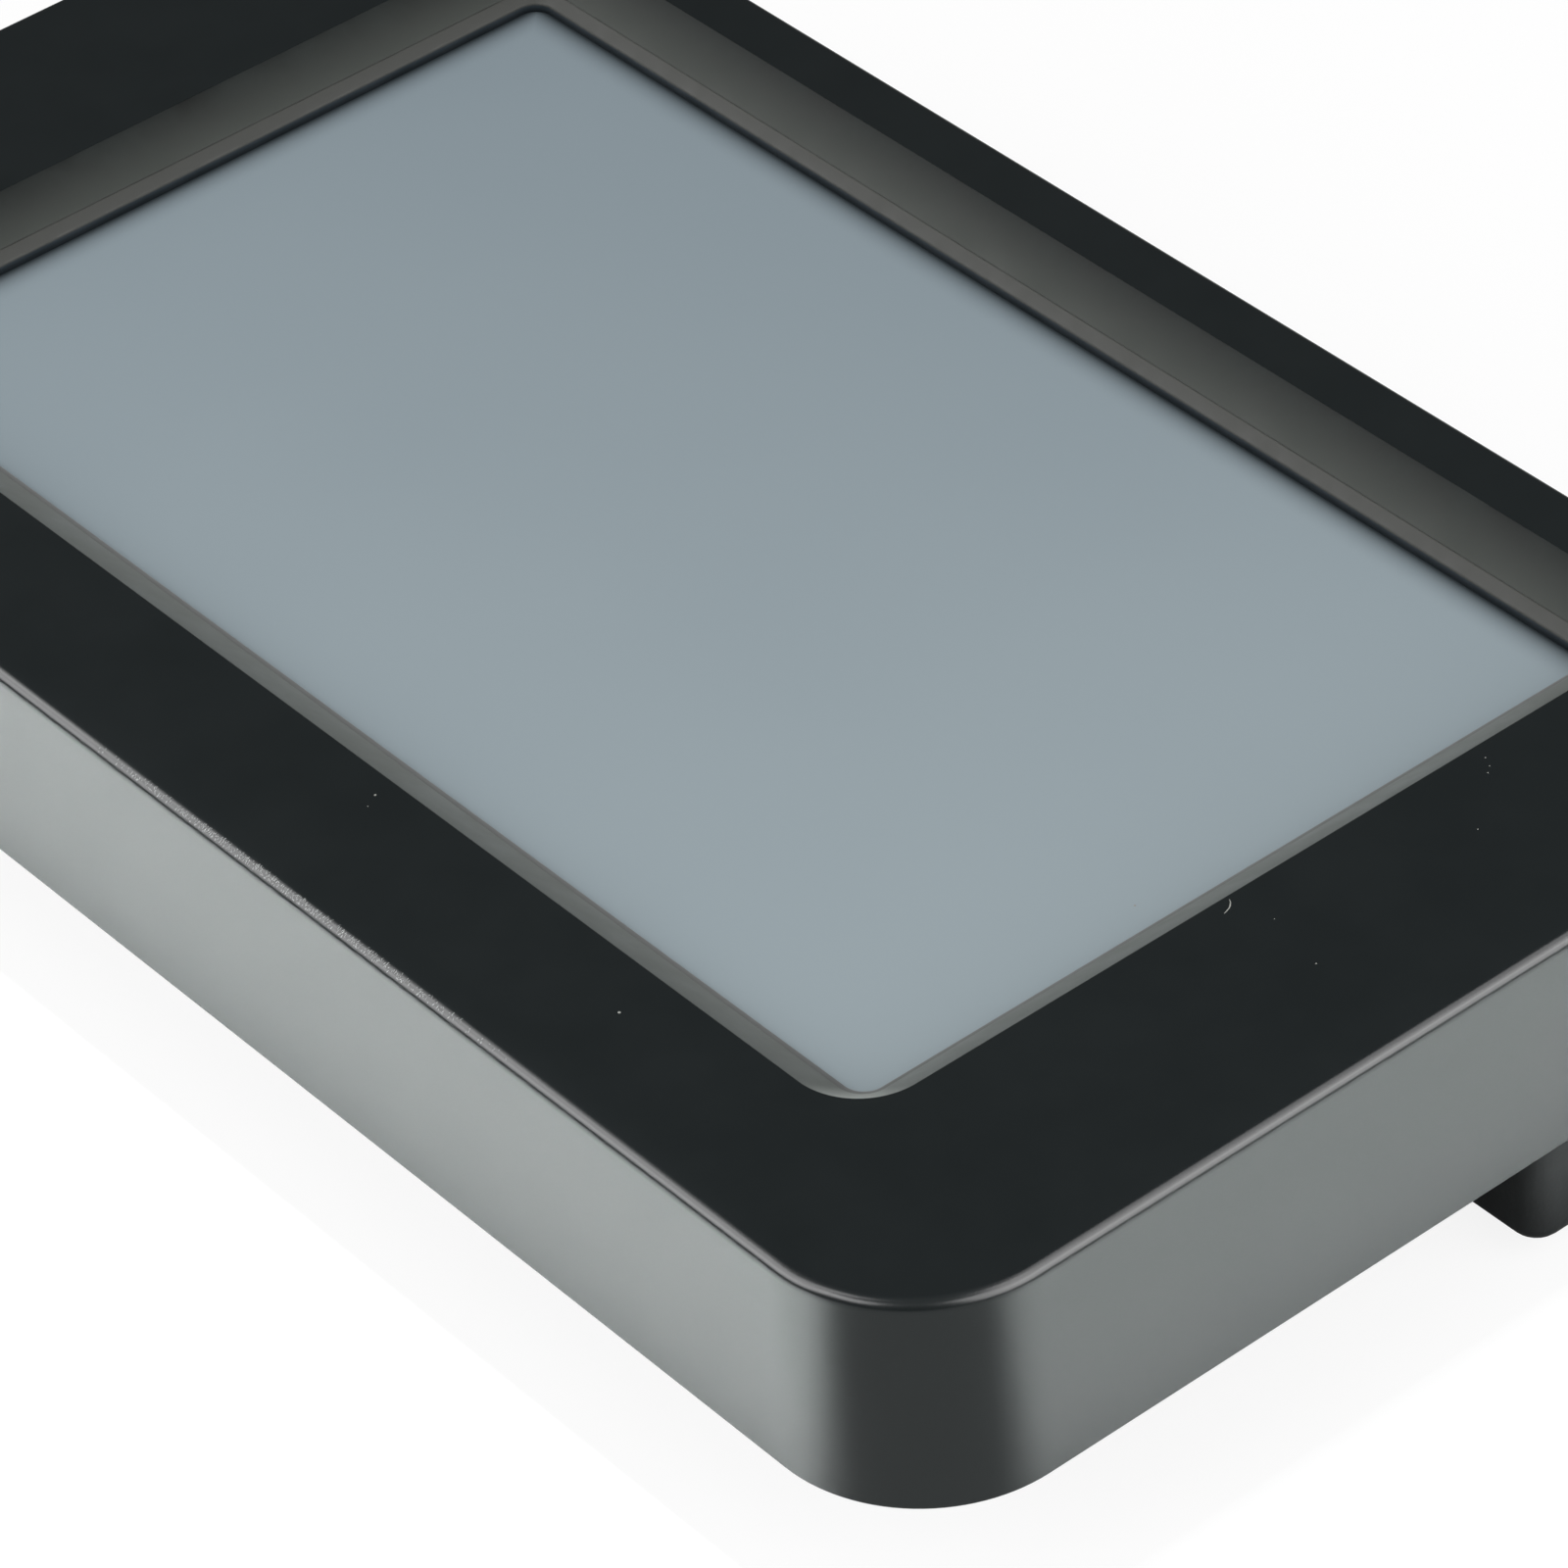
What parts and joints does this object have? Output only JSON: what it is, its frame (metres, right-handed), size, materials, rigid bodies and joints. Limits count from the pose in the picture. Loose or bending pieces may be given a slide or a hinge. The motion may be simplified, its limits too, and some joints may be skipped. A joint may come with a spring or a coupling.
{
  "type": "touch screen display module",
  "caption": "Touch screen display in a thick black plastic case with round corners, a chamfered window and a raised electronics box behind.",
  "frame": {"origin": "on the plane that the rubber feet stand on, under the middle of the case's outline", "axes": "+X along the long sides, to the right of an upright screen; +Y up the screen; +Z out of the screen"},
  "size_m": [0.2178, 0.1238, 0.0413],
  "materials": {
    "case_plastic": "black ABS, satin with a fine grain",
    "cover_plastic": "black ABS, fine spark texture",
    "seal_rubber": "grey foam rubber",
    "touch_sheet": "polyester film with a matt hard coat",
    "clear_glass": "clear float glass",
    "dark_sheet": "grey polarising film",
    "white_sheet": "white polyester and polycarbonate",
    "acrylic": "clear acrylic",
    "steel_sheet": "bright rolled steel",
    "zinc_screw": "zinc plated steel",
    "black_screw": "black oxide on steel",
    "insert_brass": "turned brass",
    "foot_rubber": "black rubber",
    "board_laminate": "green solder mask over glass fibre",
    "chip_epoxy": "black moulded epoxy",
    "chip_ceramic": "fired ceramic with tinned ends",
    "socket_plastic": "natural nylon",
    "header_plastic": "green nylon",
    "tail_film": "amber polyimide with copper tracks"
  },
  "bodies": {
    "root": {"front_case": "case_plastic", "rear_cover": "cover_plastic", "screen_gasket": "seal_rubber", "foam_frame": "seal_rubber", "touch_film": "touch_sheet", "touch_glass": "clear_glass", "display_glass": "clear_glass", "upper_polariser": "dark_sheet", "lower_polariser": "dark_sheet", "touch_spacer": "white_sheet", "prism_sheet": "white_sheet", "diffuser_sheet": "white_sheet", "reflector_sheet": "white_sheet", "backlight_frame": "white_sheet", "backlight_leds": "white_sheet", "light_guide": "acrylic", "display_frame": "steel_sheet", "display_tray": "steel_sheet", "display_clamps": "steel_sheet", "coin_cell": "steel_sheet", "bus_socket": "steel_sheet", "card_socket": "steel_sheet", "clamp_screws": "zinc_screw", "board_screws": "zinc_screw", "crystal": "zinc_screw", "terminal_pins": "zinc_screw", "capacitors": "zinc_screw", "cover_screws": "black_screw", "mount_inserts": "insert_brass", "rubber_feet": "foot_rubber", "main_board": "board_laminate", "led_strip": "board_laminate", "driver_chips": "chip_epoxy", "processor": "chip_epoxy", "memory_chip": "chip_epoxy", "flash_chip": "chip_epoxy", "touch_chip": "chip_epoxy", "regulator": "chip_epoxy", "power_coil": "chip_epoxy", "sounder": "chip_epoxy", "chip_parts": "chip_ceramic", "display_socket": "socket_plastic", "touch_socket": "socket_plastic", "cell_holder": "socket_plastic", "terminal_header": "header_plastic", "display_tail": "tail_film", "touch_tail": "tail_film"}
  },
  "joints": []
}
